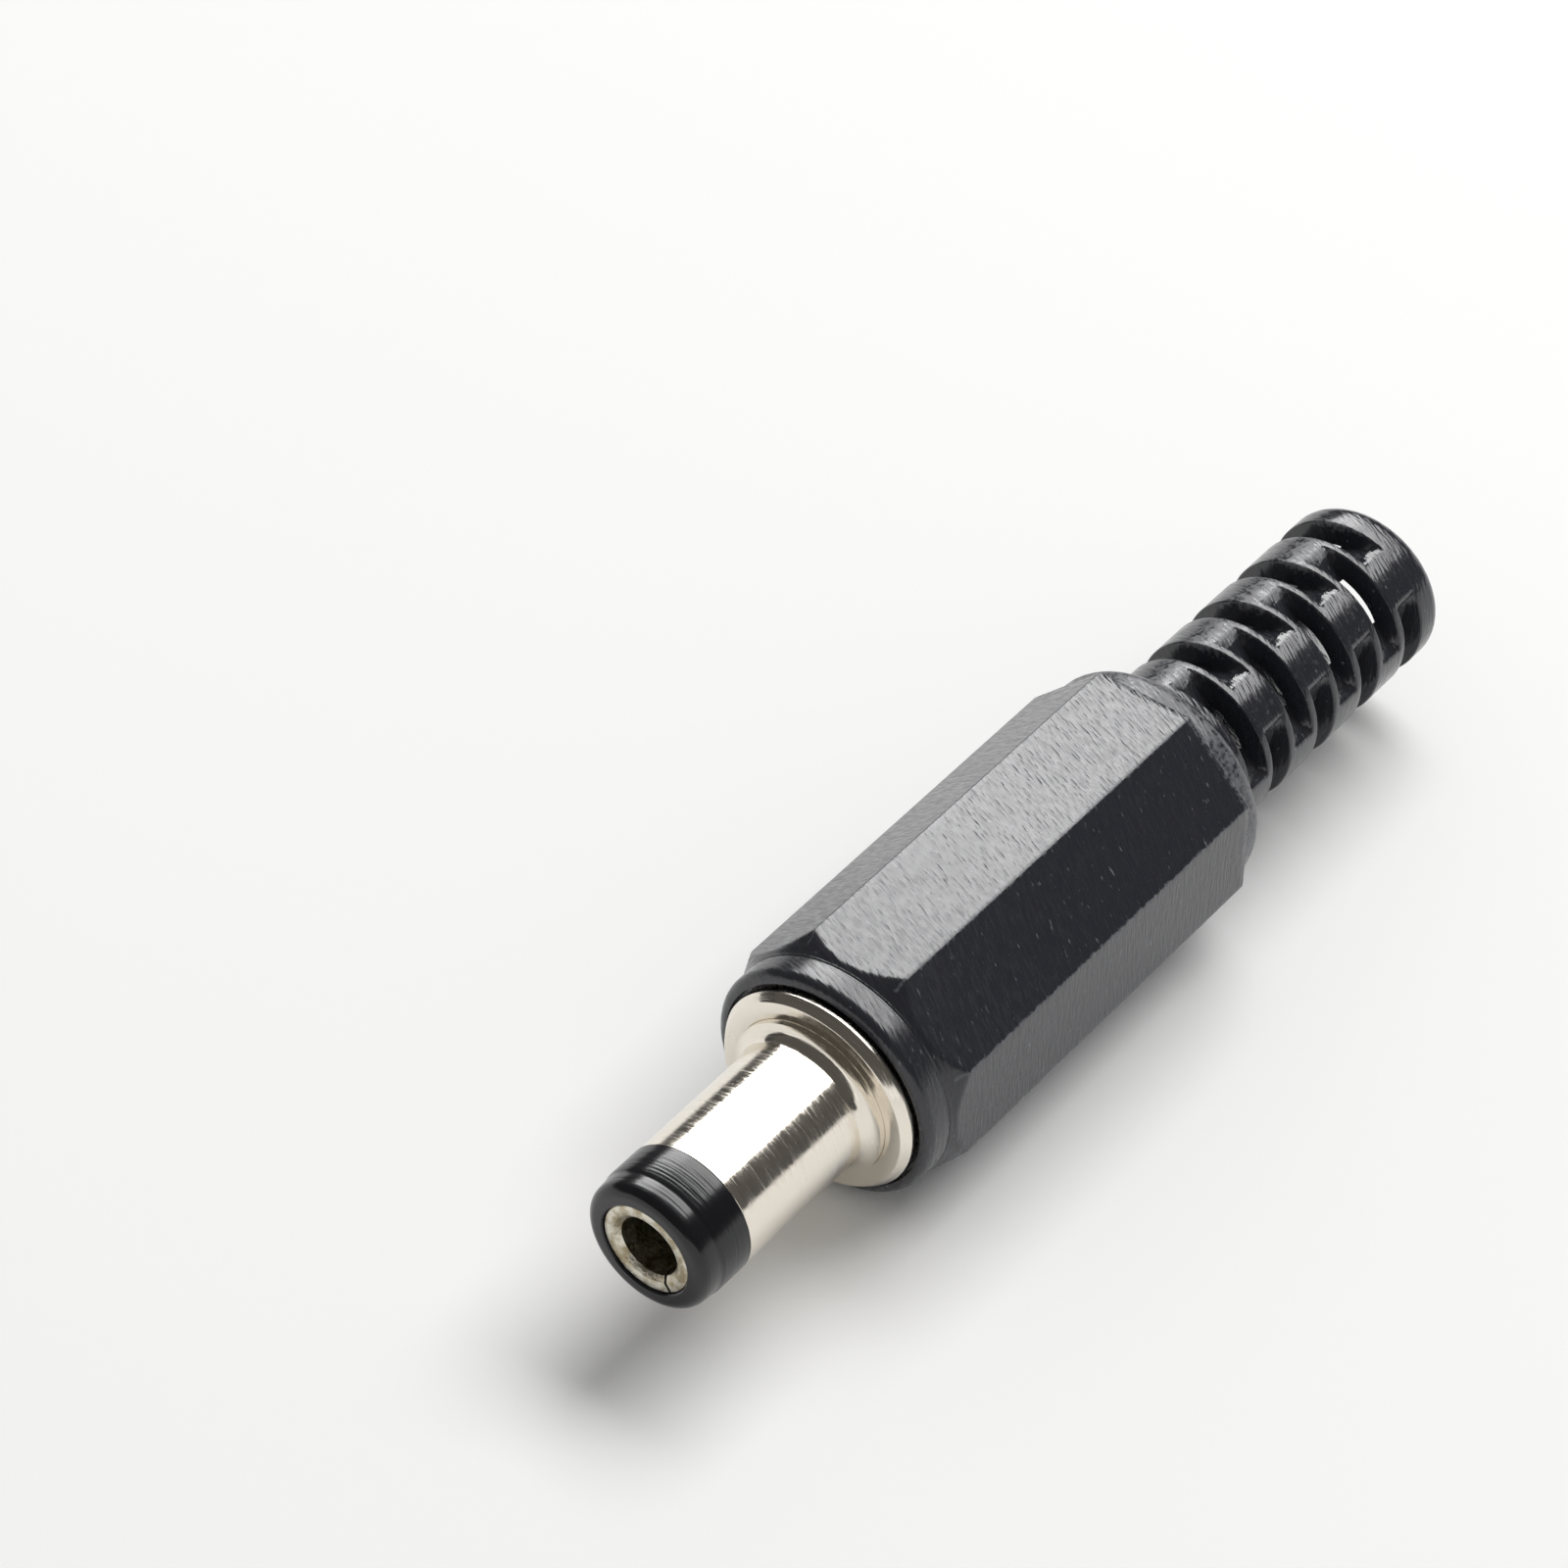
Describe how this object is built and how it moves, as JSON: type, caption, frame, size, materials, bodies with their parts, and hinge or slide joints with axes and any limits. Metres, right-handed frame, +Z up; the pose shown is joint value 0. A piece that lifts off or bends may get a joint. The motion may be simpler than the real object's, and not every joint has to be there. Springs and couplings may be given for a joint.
{
  "type": "dc barrel plug",
  "caption": "Straight DC barrel plug for a cable: coaxial barrel with a centre socket, and an octagonal screw-on cover whose slotted tail relieves strain.",
  "frame": {"origin": "on the plug's axis, at the collar's front face, which stops against the jack", "axes": "+X along the barrel towards its tip; +Z up with the plug lying on one flat of its grip; +Y to the side, so the cable leaves towards -X"},
  "size_m": [0.0454, 0.01, 0.01],
  "materials": {
    "nickel_plate": "bright nickel plate, lightly scuffed",
    "contact_plate": "tin plate over phosphor bronze, satin",
    "lug_plate": "tinned sheet, satin",
    "grip_plastic": "moulded nylon, fine streaks, satin",
    "ring_plastic": "turned acetal, satin",
    "bush_plastic": "natural nylon, matte"
  },
  "bodies": {
    "insert": {"barrel_sleeve": "nickel_plate", "tip_insulator": "ring_plastic", "centre_contact": "contact_plate", "rear_bush": "bush_plastic", "ground_lug": "lug_plate", "centre_lug": "lug_plate"},
    "cover": {"cover": "grip_plastic"}
  },
  "joints": [
    {"name": "cover_unscrew", "type": "slide", "parent": "insert", "child": "cover", "axis": [-1, 0, 0], "range_m": [0, 0.02]}
  ]
}
